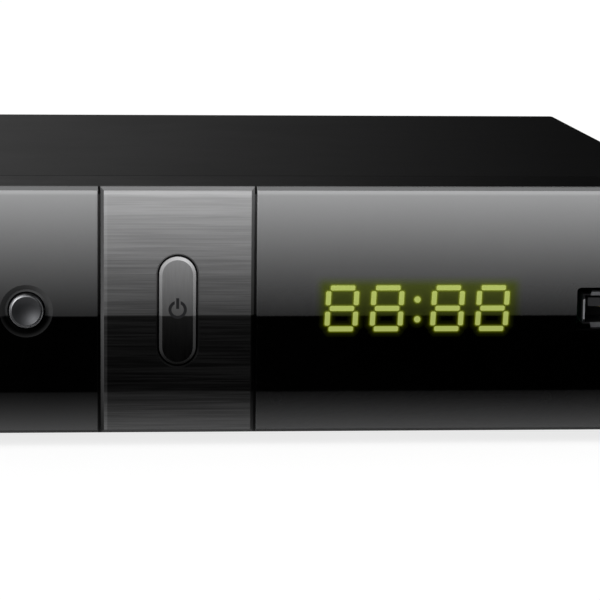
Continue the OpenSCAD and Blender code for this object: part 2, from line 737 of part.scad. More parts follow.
module processor() color([0.07, 0.07, 0.08]) placed()
    by_processor(0, 0) chip([processor_w, processor_w, processor_t]);

module processor_heatsink() color([0.20, 0.21, 0.22]) placed()
    by_processor(0, 0) translate([0, 0, processor_t]) {
        pitch = (sink_w - fin_t) / (sink_fins - 1);
        chip([sink_w, sink_w, sink_base]);
        for (i = [0:sink_fins - 1])
            translate([(i - (sink_fins - 1) / 2) * pitch, 0, 0]) chip([fin_t, sink_w, sink_h]);
    }

module memory_chips() color([0.09, 0.09, 0.10]) placed() {
    for (y = memory_y) by_processor(memory_x, y) chip(memory_size);
    by_processor(0, flash_y) chip(flash_size);
}

// A standing can capacitor: radius and height
can_edge = 0.4;
can_groove = 0.25;
can_vent_w = 1.1;
module can_capacitor(size) rotate_extrude() let (r = size[0], h = size[1]) polygon([
    [0, 0], [r - can_edge, 0], [r, can_edge], [r, 3.5 * can_edge], [r - can_groove, 4.5 * can_edge],
    [r, 5.5 * can_edge], [r, h - can_edge], [r - can_edge, h], [r - can_vent_w, h],
    [r - can_vent_w, h - can_groove], [0, h - can_groove]]);

module main_capacitors() color([0.18, 0.18, 0.22]) placed() {
    for (i = [0:2])
        translate([main_x1 + near_cans[0] + i * can_pitch[0], boards_y0 + near_cans[1], board_top])
            can_capacitor(small_can);
    translate([main_x1 + near_cans[0], boards_y0 + near_cans[1] + can_pitch[1], board_top])
        can_capacitor(tall_can);
    for (i = [0:1])
        translate([main_x0 + far_cans[0], boards_y0 + far_cans[1] + i * can_pitch[1], board_top])
            can_capacitor(small_can);
}

// Rear sockets

module tuner_can() color([0.70, 0.71, 0.72]) placed() difference() {
    y0 = boards_y1 - tuner_d;
    z1 = board_top + tuner_h;
    union() {
        block([main_x1 - tuner_w + 0.4, main_x1 - 0.4], [y0 + 0.4, boards_y1], [board_top, z1 - 0.4]);
        block([main_x1 - tuner_w, main_x1], [y0, boards_y1], [z1 - 4, z1]);
    }
    block([main_x1 - tuner_w + 0.9, main_x1 - 0.9], [y0 + 0.9, boards_y1 - 0.5], [board_top - 1, z1 - 0.5]);
}

aerial_y1 = rear_y + aerial_reach;
collar = [rear_y + 0.05, rear_y + 1.1];

module aerial_input() color([0.76, 0.77, 0.78]) placed() translate([aerial_in_x, 0, socket_z]) {
    r = aerial_d / 2;
    turned_y([
        [0, boards_y1], [r, boards_y1], [r, collar[0]], [r + 1.3, collar[0]], [r + 1.3, collar[1]],
        [r, collar[1]], [r, aerial_y1 - 0.4], [r - 0.4, aerial_y1], [r - 0.9, aerial_y1],
        [r - 0.9, boards_y1 + 2], [2.1, boards_y1 + 2], [2.1, aerial_y1 - 1], [1.2, aerial_y1 - 1],
        [1.2, boards_y1 + 2], [0, boards_y1 + 2]]);
}

module aerial_output() color([0.76, 0.77, 0.78]) placed() translate([aerial_out_x, 0, socket_z]) {
    r = aerial_out_d / 2;
    turned_y([
        [0, boards_y1], [r, boards_y1], [r, collar[0]], [r + 1.2, collar[0]], [r + 1.2, collar[1]],
        [r, collar[1]], [r, aerial_y1], [r - 0.35, aerial_y1], [r - 0.35, boards_y1 + 2],
        [1.17, boards_y1 + 2], [1.17, aerial_y1 - 2.2], [0.6, aerial_y1 - 1.5], [0, aerial_y1 - 1.5]]);
}

function hdmi_outline(g) = [
    [-7 - g, 2.3 + g], [-7 - g, -0.6 - 0.4 * g], [-5.6 - 0.4 * g, -2.3 - g],
    [5.6 + 0.4 * g, -2.3 - g], [7 + g, -0.6 - 0.4 * g], [7 + g, 2.3 + g]];
hdmi_y0 = rear_y - 11.5;

module hdmi_shell() color([0.74, 0.75, 0.77]) placed() translate([hdmi_x, 0, hdmi_z]) {
    along_y(hdmi_y0, rear_y + 0.8) difference() {
        polygon(hdmi_outline(hdmi_wall));
        polygon(hdmi_outline(0));
    }
    along_y(hdmi_y0, hdmi_y0 + 0.5) polygon(hdmi_outline(hdmi_wall / 2));
}

module hdmi_tongue() color([0.08, 0.08, 0.09]) placed() translate([hdmi_x, 0, hdmi_z]) {
    block(around(0, 11.4), [hdmi_y0 + 1, rear_y - 0.4], [0, 1]);
    block(around(0, 11), [hdmi_y0 + 0.5, hdmi_y0 + 3], [-2.25, 2.25]);
}

module phono_block() color([0.08, 0.08, 0.09]) placed() {
    block([phono_x[3] - phono_pitch / 2, phono_x[0] + phono_pitch / 2],
          [boards_y1 - phono_block_d, boards_y1], [board_top, board_top + phono_block_h]);
    for (x = phono_x)
        translate([x, 0, socket_z]) rod_y(phono_neck_d / 2, boards_y1 - 0.5, phono_seat_y);
}

module phono_barrels() color([0.80, 0.76, 0.62]) placed()
    for (x = phono_x) translate([x, 0, socket_z]) turned_y([
        [phono_d / 2 - phono_wall, phono_seat_y], [phono_d / 2, phono_seat_y],
        [phono_d / 2, phono_end_y - 0.3],
        [phono_d / 2 - 0.3, phono_end_y], [phono_d / 2 - phono_wall, phono_end_y]]);

module phono_insert(i) placed() translate([phono_x[i], 0, socket_z]) difference() {
    rod_y(phono_d / 2 - phono_wall - 0.05, phono_seat_y, phono_end_y - 0.4);
    rod_y(1.65, phono_seat_y + 0.5, phono_end_y + 1);
}
module phono_insert_yellow() color([0.90, 0.75, 0.10]) phono_insert(0);
module phono_insert_white() color([0.92, 0.92, 0.90]) phono_insert(1);
module phono_insert_red() color([0.75, 0.08, 0.06]) phono_insert(2);
module phono_insert_orange() color([0.90, 0.42, 0.06]) phono_insert(3);

// Power board

module power_board() color([0.62, 0.48, 0.26]) placed() difference() {
    block([power_x0, power_x1], [boards_y0, boards_y1], [board_z, board_top]);
    for (p = power_posts)
        translate([p[0], p[1], board_z]) rod_z(clear_hole_r, -1, board_t + 1);
}

module insulation_sheet() color([0.85, 0.83, 0.74]) placed() difference() {
    block([power_x0, power_x1], [boards_y0, foot_y[1] - foot_d / 2 - 3], [floor_top, floor_top + 0.4]);
    for (p = power_posts)
        translate([p[0], p[1], floor_top]) rod_z(post_d / 2 + 0.3, -1, 2);
}

// Parts on the power board, each placed from the board's front left corner
transformer_place = [15, 40];
core_size = [10, 26, 22];
core_window = [6, 14];
core_leg = 7;
winding_w = 17;
winding_r = 3;
bobbin_w = 20;
bobbin_t = 1.2;
bulk_place = [14, 62];
bulk_can = [6.5, 22];
output_places = [[10, 10], [10, 20], [18.5, 6.5]];
output_can = [4, 13];
power_sink_place = [27, 28];
power_sink_size = [6, 28, 24];
power_sink_t = 2;
power_sink_fin = 1.4;
power_sink_pitch = 5;
filter_place = [25.5, 73];
filter_r = [3.2, 7.5];
filter_h = 9;
filter_edge = 0.6;
fuse_place = [4.5, 69];
fuse_l = 20;
fuse_r = 2.5;
fuse_z = 4;
clip_t = 0.3;
clip_l = 5.5;

module on_power_board(place) translate([power_x0 + place[0], boards_y0 + place[1], board_top]) children();

module transformer_core() color([0.20, 0.20, 0.21]) placed() on_power_board(transformer_place) difference() {
    chip(core_size);
    for (side = [-1, 1])
        block(around(0, core_size[0] + 2), around(side * (core_leg + core_window[0]) / 2, core_window[0]),
              around(core_size[2] / 2, core_window[1]));
}

// The bobbin's two flanges with the taped winding between them
module transformer_winding() color([0.86, 0.72, 0.12]) placed() on_power_board(transformer_place)
    translate([0, 0, core_size[2] / 2]) difference() {
        e = core_window[1] / 2 - slip;
        bobbin_l = core_leg + 2 * core_window[0] - 4 * slip;
        union() {
            along_z(-e, e) rounded_shape(winding_w, bobbin_l - bobbin_t, winding_r);
            for (z = [-e, e - bobbin_t]) along_z(z, z + bobbin_t) rounded_shape(bobbin_w, bobbin_l, 1);
        }
        block(around(0, core_size[0] + 2 * slip), around(0, core_leg + 2 * slip), [-e - 1, e + 1]);
    }

module bulk_capacitor() color([0.10, 0.12, 0.30]) placed() on_power_board(bulk_place) can_capacitor(bulk_can);

module output_capacitors() color([0.08, 0.20, 0.14]) placed()
    for (place = output_places) on_power_board(place) can_capacitor(output_can);

module power_heatsink() color([0.66, 0.67, 0.69]) placed() on_power_board(power_sink_place) {
    block([0, power_sink_t], [0, power_sink_size[1]], [0, power_sink_size[2]]);
    for (y = [power_sink_fin:power_sink_pitch:power_sink_size[1]])
        block([power_sink_t / 2, power_sink_size[0]], around(y, power_sink_fin), [0, power_sink_size[2]]);
}

module line_filter() color([0.55, 0.30, 0.14]) placed() on_power_board(filter_place) rotate_extrude()
    let (r = filter_r, e = filter_edge) polygon([
        [r[0], e], [r[0] + e, 0], [r[1] - e, 0], [r[1], e],
        [r[1], filter_h - e], [r[1] - e, filter_h], [r[0] + e, filter_h], [r[0], filter_h - e]]);

module fuse() color([0.80, 0.80, 0.82]) placed() on_power_board(fuse_place) {
    translate([0, 0, fuse_z]) rod_y(fuse_r, clip_t, fuse_l - clip_t);
    for (y = [0, fuse_l - clip_l]) {
        translate([0, 0, fuse_z]) rod_y(fuse_r + clip_t, y, y + clip_l);
        block(around(0, 1.6 * fuse_r), [y + 2 * clip_t, y + clip_l - 2 * clip_t], [0, fuse_z - fuse_r / 2]);
    }
}

// Wiring

wire_r = 0.7;
wire_bend = 4;
wire_pitch = 2;
wires = 5;
harness_place = [26, 16];
harness_rise = 15;
plug_w = 6;
plug_l = 12;
lead_plug_l = 8;
harness_y = boards_y0 + harness_place[1];
harness_x0 = power_x0 + harness_place[0];
harness_x1 = main_x0 + plug_w / 2 + 5;
harness_z = board_top + harness_rise;
lead_run = 6;
lead_socket = [power_x1 - 6, rear_y - switch_in - wire_bend - lead_run];
lead_r = 0.8;
lead_z = [board_top + 4.6, board_top + 7];

// A quarter turn of round wire in the x-z plane, rising from the origin and turning to +x
module wire_turn(r) translate([wire_bend, 0, 0]) rotate([90, 0, 0])
    rotate([0, 0, 90]) rotate_extrude(angle = 90) translate([wire_bend, 0]) circle(r = r);

module power_harness() color([0.75, 0.12, 0.10]) placed()
    for (i = [0:wires - 1]) translate([0, harness_y + (i - (wires - 1) / 2) * wire_pitch, 0]) {
        turn_z = harness_z - wire_bend;
        translate([harness_x0, 0, 0]) rod_z(wire_r, board_top + plug_h, turn_z);
        translate([harness_x0, 0, turn_z]) wire_turn(wire_r);
        translate([0, 0, harness_z]) rod_x(wire_r, harness_x0 + wire_bend, harness_x1 - wire_bend);
        translate([harness_x1, 0, turn_z]) mirror([1, 0, 0]) wire_turn(wire_r);
        translate([harness_x1, 0, 0]) rod_z(wire_r, board_top + plug_h, turn_z);
    }

module harness_sockets() color([0.90, 0.88, 0.82]) placed() {
    for (x = [harness_x0, harness_x1])
        block(around(x, plug_w), around(harness_y, plug_l), [board_top, board_top + plug_h]);
    block(around(lead_socket[0], plug_w), around(lead_socket[1], lead_plug_l),
          [board_top, board_top + plug_h + 1]);
}

module switch_leads() color([0.10, 0.20, 0.45]) placed()
    for (z = lead_z) translate([0, 0, z]) {
        turn_y = lead_socket[1] + wire_bend;
        translate([switch_x, 0, 0]) rod_y(lead_r, turn_y, rear_y - switch_in);
        translate([switch_x - wire_bend, turn_y, 0])
            rotate([0, 0, -90]) rotate_extrude(angle = 90) translate([wire_bend, 0]) circle(r = lead_r);
        translate([0, lead_socket[1], 0]) rod_x(lead_r, lead_socket[0] + plug_w / 2, switch_x - wire_bend);
    }

// Mains inlet and switch

module mains_inlet() color([0.07, 0.07, 0.08]) placed() translate([inlet_x, 0, inlet_z]) difference() {
    along_y(rear_y - inlet_in, rear_y + inlet_reach) rounded_shape(inlet_w, inlet_h, 1.5);
    along_y(rear_y + inlet_reach - inlet_depth, rear_y + inlet_reach + 1) {
        square([mains_pitch, 6.4], center = true);
        for (side = [-1, 1]) translate([side * mains_pitch / 2, 0]) circle(r = 4.1);
    }
}

module mains_pins() color([0.78, 0.79, 0.80]) placed() translate([inlet_x, 0, inlet_z])
    for (side = [-1, 1]) translate([side * mains_pitch / 2, 0, 0]) turned_y([
        [0, rear_y + inlet_reach - inlet_depth], [1.18, rear_y + inlet_reach - inlet_depth],
        [1.18, rear_y - 1], [0.6, rear_y - 0.3], [0, rear_y - 0.3]]);

module mains_switch_body() color([0.06, 0.06, 0.07]) placed()
    translate([switch_x, 0, switch_z]) difference() {
        union() {
            along_y(rear_y - switch_in, rear_y + 0.2) square([switch_w, switch_h], center = true);
            along_y(rear_y, rear_y + switch_rim) rounded_shape(switch_w + 2.4, switch_h + 3.4, 1);
        }
        block(around(0, rocker_w + 0.4), [pivot_y - 4.8, rear_y + switch_rim + 1], around(0, rocker_l + 1));
        translate([0, pivot_y, 0]) rod_x(trunnion_r + running_gap, -rocker_w / 2 - 0.95, rocker_w / 2 + 0.95);
    }

module mains_rocker() color([0.09, 0.09, 0.10]) placed() translate([switch_x, pivot_y, switch_z])
    rotate([rocker_tilt, 0, 0]) {
        e = rocker_l / 2;
        rise = 2.4 + e * tan(rocker_tilt);
        along_x(-rocker_w / 2, rocker_w / 2) polygon([
            [rise, -e], [2.4, 0], [rise, e], [-1.2, e], [-3, 2.5], [-3, -2.5], [-1.2, -e]]);
        rod_x(trunnion_r, -rocker_w / 2 - 0.8, rocker_w / 2 + 0.8);
    }

top_cover();
chassis_tray();
rubber_feet();
cover_screws();
front_bezel();
left_fascia();
centre_plate();
display_window();
power_button();
select_button();
power_switch();
power_switch_plunger();
select_switch();
select_switch_plunger();
front_board();
front_board_screws();
display_module();
display_segments();
display_spacer();
ir_receiver();
usb_shell();
usb_tongue();
usb_contacts();
front_ribbon();
ribbon_sockets();
main_board();
standoffs();
board_screws();
processor();
processor_heatsink();
memory_chips();
main_capacitors();
tuner_can();
aerial_input();
aerial_output();
hdmi_shell();
hdmi_tongue();
phono_block();
phono_barrels();
phono_insert_yellow();
phono_insert_white();
phono_insert_red();
phono_insert_orange();
power_board();
insulation_sheet();
transformer_core();
transformer_winding();
bulk_capacitor();
output_capacitors();
power_heatsink();
line_filter();
fuse();
power_harness();
harness_sockets();
mains_inlet();
mains_pins();
mains_switch_body();
mains_rocker();
switch_leads();
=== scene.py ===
"""Looks of the digital TV receiver: camera, light, materials and the glow round the lit digits."""
import json
import math

import bmesh
import bpy
from mathutils import Matrix, Vector


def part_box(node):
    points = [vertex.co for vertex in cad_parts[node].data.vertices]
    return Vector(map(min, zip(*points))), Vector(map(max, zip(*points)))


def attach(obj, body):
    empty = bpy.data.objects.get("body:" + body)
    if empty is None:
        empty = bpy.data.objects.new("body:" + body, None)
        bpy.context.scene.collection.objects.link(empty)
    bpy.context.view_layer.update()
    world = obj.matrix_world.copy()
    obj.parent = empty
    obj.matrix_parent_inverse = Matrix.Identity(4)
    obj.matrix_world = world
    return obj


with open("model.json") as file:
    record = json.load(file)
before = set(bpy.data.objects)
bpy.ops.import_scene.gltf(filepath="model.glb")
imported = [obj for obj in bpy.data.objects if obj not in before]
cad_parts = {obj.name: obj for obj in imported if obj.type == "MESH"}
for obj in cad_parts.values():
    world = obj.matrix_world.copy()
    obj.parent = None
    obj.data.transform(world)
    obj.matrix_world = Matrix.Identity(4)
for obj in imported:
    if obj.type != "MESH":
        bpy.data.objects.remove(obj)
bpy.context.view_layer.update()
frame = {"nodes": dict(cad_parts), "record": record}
nodes = frame["nodes"]
slot_of = {part["node"]: part["material_slot"] for part in frame["record"]["subparts"]}

MM = 0.001
NOTHING = (0.0, 0.0, 0.0)

# Camera, fitted to the edges of the front and the cover in the photograph; angles in radians
CAMERA_AT = Vector((-17.8, -573.0, 106.2)) * MM
CAMERA_YAW = 0.0819
CAMERA_PITCH = 0.1566
CAMERA_ROLL = 0.0108
FOCAL_PIXELS = 2700
PHOTO_PIXELS = 600

# Fades on the front, painted reflection of a glossy front: grey at the top, black across the middle and
# lifting again at the bottom, with a painted highlight line just under the top edge. Each gives a height
# above the surface in mm, and the grey shown there from 0 to 255
PANEL_FADE = ((3.0, 78), (10.7, 22), (10.8, 2), (24.85, 0), (25.03, 45), (47.5, 159), (47.9, 180),
              (49.0, 180))
PLATE_FADE = ((3.0, 76), (10.7, 30), (10.8, 12), (25.0, 24), (25.2, 66), (47.2, 193), (47.9, 211),
              (49.0, 211))
# The power key: painted reflection on its face, and painted highlight on its rim
KEY_FADE = ((15.9, 6), (25.0, 30), (25.2, 80), (36.1, 146))
RIM_FADE = ((15.9, 14), (18.6, 50), (25.0, 66), (25.2, 98), (36.1, 165))
# Painted highlight on the left bevel of the centre plate
LEFT_EDGE_FADE = ((3.0, 42), (25.0, 92), (49.0, 98))
# Bottoms of the grooves: painted reflection, brightened as painted light against the shade in them
GROOVE_FADE = ((3.0, 62), (10.7, 16), (10.8, 2), (24.85, 0), (25.03, 55), (47.3, 156), (47.8, 40))
# Painted shade on the right bevel of the centre plate, deepest across the black middle
RIGHT_EDGE_FADE = ((3.0, 75), (10.7, 26), (10.8, 5), (25.0, 5), (25.2, 66), (49.0, 150))
# Painted highlight on the bevel of the power key's hole, brighter on its right side
HOLE_FADE = ((14.9, 22), (25.0, 28), (25.2, 62), (37.0, 100))

# How much brighter a rim's painted highlight is on its right side, as painted light against the shade there
RIGHT_RIM_LIFT = 1.5

# Greys of the painted highlight on the bevels along the tops of the panels, and the heights between which
# they begin
PANEL_TOP_HIGHLIGHT = (0.445, 0.445, 0.445)
PLATE_TOP_HIGHLIGHT = (0.56, 0.56, 0.56)
TOP_EDGE_ABOVE = (47.6 * MM, 48.2 * MM)

# Tints of the panels' and of the brushed plate's fade of painted reflection
PANEL_FADE_TINT = (0.985, 0.99, 1.0)
METAL_TINT = (0.99, 0.99, 1.0)

# The round key's well: radius, width and grey of the painted highlight round its edge, and the painted light
# that lifts the fade inside it against its shade
WELL_R = 4.9 * MM
WELL_EDGE = 0.8 * MM
WELL_RIM_HIGHLIGHT = (0.16, 0.16, 0.16)
WELL_PAINTED_LIGHT = (0.05, 0.05, 0.05)

# The centre plate: where the painted highlight strip beside its left edge ends, what that highlight and the
# streaks add, and how far its key hole's bevel reaches from the key
STRIP_END = (1.1 * MM, 1.3 * MM)
STRIP_HIGHLIGHT = (0.1, 0.1, 0.1)
STREAK_LIFT = (0.045, 0.045, 0.045)
HOLE_REACH = 0.3 * MM

# Sign of a power switch: radius and width of its ring, reach of its bar, how far above the middle it sits
SIGN_R = 1.42 * MM
SIGN_T = 0.55 * MM
SIGN_BAR = (0.15 * MM, 2.15 * MM)
SIGN_RISE = 0.28 * MM
SIGN_SOFT = 0.04 * MM
SIGN_GREY = (0.17, 0.17, 0.175)

# How far behind the front of the power key its print ends
PRINT_DEPTH = (0.02 * MM, 0.06 * MM)

# The round key: radius of its dish, width of the dish's edge, and the colours of its rim and of its dish,
# darkened with painted shade
DISH_R = 2.76 * MM
DISH_EDGE = 0.12 * MM
RIM_METAL = (0.24, 0.242, 0.25)
DISH_SHADE_METAL = (0.06, 0.061, 0.064)

# USB socket's shell: its sides, the painted highlight inside its left lip, and the painted shade on its cut
# edges and bottom
USB_SHELL = (0.60, 0.61, 0.63)
USB_LIP_HIGHLIGHT = (0.80, 0.81, 0.83)
USB_SHADE = (0.10, 0.10, 0.105)

# Glow round the lit bars: where each frame ends, how thick it is, and how bright
GLOW_FRAMES = ((0.24 * MM, 0.05 * MM, 0.20),
               (0.60 * MM, 0.035 * MM, 0.024),
               (1.05 * MM, 0.02 * MM, 0.008))

# How much of what lies behind it the window hides, the yellow-green tint of painted glow round the digits and
# how far it fades out, and the level of the display
WINDOW_COVER = 0.8
GLOW_TINT = (0.85, 1.05, 0.19)
GLOW_TINT_EDGE = 2.4 * MM
LIT_LEVEL = 17.0

# Colours of the lit bars and of their glow, and how much of it a glow frame shows unlit
LIT = (0.56, 0.65, 0.17)
GLOW = (0.55, 0.66, 0.01)
GLOW_BODY = 0.03

# Points of a solid closer than this are one, and points this far back still lie on its front
SAME_POINT = 0.001 * MM
SAME_FACE = 0.01 * MM

# Black of the cover and the moulding, and the cover's bends: where rubbing starts, its width and its grey
BLACK = (0.0030, 0.0030, 0.0032)
RUB_FROM = 1.75 * MM
RUB_WIDTH = 0.55 * MM
RUBBED = (0.05, 0.05, 0.052)

# Plain finishes: how far handling changes the roughness, and the depth of the grain in mm
HANDLING = 0.12
GRAIN_DEPTH = 0.02

# Floor and light: size, grey and own white of the floor, the ambient level, and the sun's height, turn,
# spread and level
FLOOR_SIZE = 8.0
FLOOR_GREY = (0.30, 0.30, 0.30, 1.0)
FLOOR_WHITE = 0.79
AMBIENT = 0.40
SUN = (28.0, -38.0, 40.0, 0.85)

# Cards seen only in gloss, in metres: where they stand ahead of, behind, beside and above the object
AHEAD = -1.2
BEHIND = 0.75
BESIDE = 0.9
ABOVE = 1.2
FAR_RIGHT = 2.5
FLAG_TOP = 0.33
CARD_FOOT = 0.05
CARD_TOP = 2.0


class Finish:
    """A node material around one Principled shader, built with short calls."""

    def __init__(self, name, **values):
        self.material = bpy.data.materials.new(name)
        self.material.use_nodes = True
        self.tree = self.material.node_tree
        self.tree.nodes.clear()
        output = self.tree.nodes.new("ShaderNodeOutputMaterial")
        self.shader = self.tree.nodes.new("ShaderNodeBsdfPrincipled")
        self.tree.links.new(self.shader.outputs[0], output.inputs[0])
        self.set(**values)
        self.place = self.tree.nodes.new("ShaderNodeTexCoord")

    def put(self, socket, value):
        """Links a socket to another, or sets its value."""
        if isinstance(value, bpy.types.NodeSocket):
            self.tree.links.new(value, socket)
        elif socket.type == "RGBA":
            socket.default_value = (*value, 1.0) if len(value) == 3 else value
        else:
            socket.default_value = value

    def set(self, **values):
        """Sets the shader's inputs by name."""
        for key, value in values.items():
            self.put(self.shader.inputs[key.replace("_", " ").title().replace("Ior", "IOR")], value)

    def node(self, kind, settings=None, **inputs):
        """A new node with its settings and inputs."""
        made = self.tree.nodes.new("ShaderNode" + kind)
        for key, value in (settings or {}).items():
            setattr(made, key, value)
        for key, value in inputs.items():
            self.put(made.inputs[key], value)
        return made

    def maths(self, operation, *values, clamp=False):
        made = self.node("Math", {"operation": operation, "use_clamp": clamp})
        for socket, value in zip(made.inputs, values):
            self.put(socket, value)
        return made.outputs[0]

    def axis(self, name, of="Object"):
        """One coordinate of the place, or of the normal."""
        split = self.node("SeparateXYZ", Vector=self.place.outputs[of])
        return split.outputs[name]

    def spread(self, value, low, high, start=0.0, end=1.0):
        """A value from low to high, carried over to start to end and held there."""
        made = self.node("MapRange", {"interpolation_type": "SMOOTHSTEP"})
        for index, given in enumerate((value, low, high, start, end)):
            self.put(made.inputs[index], given)
        return made.outputs[0]

    def noise(self, per_mm, detail=3.0, stretch=(1, 1, 1), roughness=0.5):
        """Cloudy noise with so many swells to a millimetre."""
        scaled = self.node("Mapping", Vector=self.place.outputs["Object"], Scale=stretch)
        made = self.node("TexNoise", Vector=scaled.outputs[0], Scale=per_mm / MM, Detail=detail,
                         Roughness=roughness)
        return made.outputs[0]

    def cells(self, per_mm, feature="F1", stretch=(1, 1, 1), output="Color"):
        """A pattern of cells, with so many to a millimetre."""
        scaled = self.node("Mapping", Vector=self.place.outputs["Object"], Scale=stretch)
        made = self.node("TexVoronoi", {"feature": feature}, Vector=scaled.outputs[0], Scale=per_mm / MM)
        return made.outputs[output]

    def mix(self, share, first, second, how="MIX"):
        made = self.node("Mix", {"data_type": "RGBA", "blend_type": how})
        for index, given in ((0, share), (6, first), (7, second)):
            self.put(made.inputs[index], given)
        return made.outputs[2]

    def shades(self, share, colour, swing):
        """A colour that goes lighter and darker by a share of itself."""
        return self.mix(share, [c * (1 - swing) for c in colour], [min(1.0, c * (1 + swing)) for c in colour])

    def bump(self, height, strength, depth_mm, base=None):
        made = self.node("Bump", Strength=strength, Distance=depth_mm * MM, Height=height)
        if base is not None:
            self.put(made.inputs["Normal"], base)
        return made.outputs[0]

    def soft_edge(self, radius_mm):
        """A normal that rounds the edges a little."""
        return self.node("Bevel", {"samples": 4}, Radius=radius_mm * MM).outputs[0]

    def fade(self, stops):
        """The grey of a fade at each height, as shown on a screen."""
        low, high = stops[0][0] * MM, stops[-1][0] * MM
        share = self.maths("DIVIDE", self.maths("SUBTRACT", self.axis("Z"), low), high - low, clamp=True)
        ramp = self.node("ValToRGB", Fac=share)
        points = ramp.color_ramp.elements
        while len(points) < len(stops):
            points.new(0.5)
        for point, (height, grey) in zip(points, stops):
            point.position = (height * MM - low) / (high - low)
            point.color = (grey / 255, grey / 255, grey / 255, 1.0)
        return ramp.outputs[0]

    def from_middle(self, x, z):
        """Distance from a point of the front."""
        across = self.maths("POWER", self.maths("SUBTRACT", self.axis("X"), x), 2.0)
        up = self.maths("POWER", self.maths("SUBTRACT", self.axis("Z"), z), 2.0)
        return self.maths("SQRT", self.maths("ADD", across, up))

    def from_screen(self, grey, tint, share=1.0):
        """A grey as shown on a screen, made linear and tinted."""
        value = self.node("Gamma", Color=grey, Gamma=2.2).outputs[0]
        return self.mix(1.0, self.mix(1.0, value, tint, "MULTIPLY"), (share, share, share), "MULTIPLY")

    def slanted(self):
        """1 on the faces that lean between the front and the sides, 0 on flat ones."""
        facing = self.maths("ABSOLUTE", self.axis("Y", "Normal"))
        return self.maths("MULTIPLY", self.spread(facing, 0.90, 0.97, 1.0, 0.0),
                          self.spread(facing, 0.2, 0.4))

    def rightwards(self):
        """0 on faces that lean to the left, 1 on those that lean to the right."""
        return self.spread(self.axis("X", "Normal"), -0.5, 0.5)

    def top_bevel(self):
        """1 on the bevel along a panel's top, 0 elsewhere."""
        return self.maths("MULTIPLY", self.spread(self.axis("Z", "Normal"), 0.3, 0.5),
                          self.spread(self.axis("Z"), *TOP_EDGE_ABOVE))

    def below(self, value, limit):
        """1 where a length is under a limit, with a soft edge."""
        return self.spread(value, limit - SIGN_SOFT, limit + SIGN_SOFT, 1.0, 0.0)

    def power_sign(self, x, z):
        """1 on an open ring with a bar round a point of the front, 0 elsewhere."""
        aside = self.maths("ABSOLUTE", self.maths("SUBTRACT", self.axis("X"), x))
        up = self.maths("SUBTRACT", self.axis("Z"), z)
        off_ring = self.maths("ABSOLUTE", self.maths("SUBTRACT", self.from_middle(x, z), SIGN_R))
        gap = self.maths("MULTIPLY", self.below(aside, SIGN_T), self.maths("GREATER_THAN", up, 0.0))
        ring = self.maths("MULTIPLY", self.below(off_ring, SIGN_T / 2), self.maths("SUBTRACT", 1.0, gap))
        off_bar = self.maths("ABSOLUTE", self.maths("SUBTRACT", up, (SIGN_BAR[0] + SIGN_BAR[1]) / 2))
        bar = self.maths("MULTIPLY", self.below(aside, SIGN_T / 2),
                         self.below(off_bar, (SIGN_BAR[1] - SIGN_BAR[0]) / 2))
        return self.maths("MAXIMUM", ring, bar)

    def near_box(self, low, high, edge):
        """1 over a box of the front, fading to 0 within an edge round it."""
        share = None
        for axis, index in (("X", 0), ("Z", 2)):
            for inside in (self.spread(self.axis(axis), low[index] - edge, low[index]),
                           self.spread(self.axis(axis), high[index], high[index] + edge, 1.0, 0.0)):
                share = inside if share is None else self.maths("MULTIPLY", share, inside)
        return share

    def edge_fade(self):
        """The greys of a panel's bevels, which differ on its two sides: painted highlight on the left,
        painted shade on the right.
        """
        return self.mix(self.rightwards(), self.fade(LEFT_EDGE_FADE), self.fade(RIGHT_EDGE_FADE))


def lifted(stops, times):
    """A fade with all its greys brighter."""
    return tuple((height, min(255, grey * times)) for height, grey in stops)


def plain(name, colour, roughness, metallic=0.0, specular=0.5, grain=2.0, swing=0.12, bump=0.15,
          stretch=(1, 1, 1), coat=0.0, edge=0.0):
    """A finish with fine grain in its colour and relief, and broad handling marks in its roughness."""
    made = Finish(name, metallic=metallic, specular_ior_level=specular, coat_weight=coat)
    fine = made.noise(grain, 4.0, stretch)
    broad = made.noise(0.06, 5.0, roughness=0.65)
    made.set(base_color=made.shades(made.mix(0.4, fine, broad), colour, swing),
             roughness=made.spread(broad, 0.3, 0.7, max(0.05, roughness - HANDLING), roughness + HANDLING),
             normal=made.bump(fine, bump, GRAIN_DEPTH, made.soft_edge(edge) if edge else None))
    return made


def cover_coat(name):
    """Fine black powder coat, rubbed a little along the long bends."""
    made = Finish(name, specular_ior_level=0.12)
    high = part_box("top_cover")[1]
    grain = made.noise(3.5, 2.0)
    broad = made.noise(0.03, 5.0, roughness=0.6)
    corner = high[0] + high[2] - RUB_FROM
    over = made.maths("ADD", made.maths("ABSOLUTE", made.axis("X")), made.axis("Z"))
    rubbed = made.maths("MULTIPLY", made.spread(over, corner, corner + RUB_WIDTH),
                        made.spread(made.noise(0.5, 6.0, (1, 0.25, 1)), 0.5, 0.68))
    base = made.shades(made.mix(0.5, grain, broad), BLACK, 0.2)
    made.set(base_color=made.mix(rubbed, base, RUBBED),
             roughness=made.spread(broad, 0.3, 0.7, 0.385, 0.415),
             normal=made.bump(grain, 0.35, 0.03, made.soft_edge(0.2)))
    return made


def front_moulding(name):
    """Black plastic, with the panels' fade of painted reflection carried faintly along the bottoms of the
    grooves, painted brighter there against their shade.
    """
    made = Finish(name, specular_ior_level=0.09)
    fine = made.noise(4.5, 4.0)
    broad = made.noise(0.06, 5.0, roughness=0.65)
    front = made.spread(made.axis("Y", "Normal"), -0.95, -0.8, 1.0, 0.0)
    base = made.shades(made.mix(0.4, fine, broad), BLACK, 0.2)
    # Front-facing faces take the grooves' painted reflection and painted light
    made.set(base_color=made.mix(front, base, made.from_screen(made.fade(GROOVE_FADE), METAL_TINT)),
             roughness=made.spread(broad, 0.3, 0.7, 0.34, 0.38),
             normal=made.bump(fine, 0.15, 0.03, made.soft_edge(0.2)))
    return made


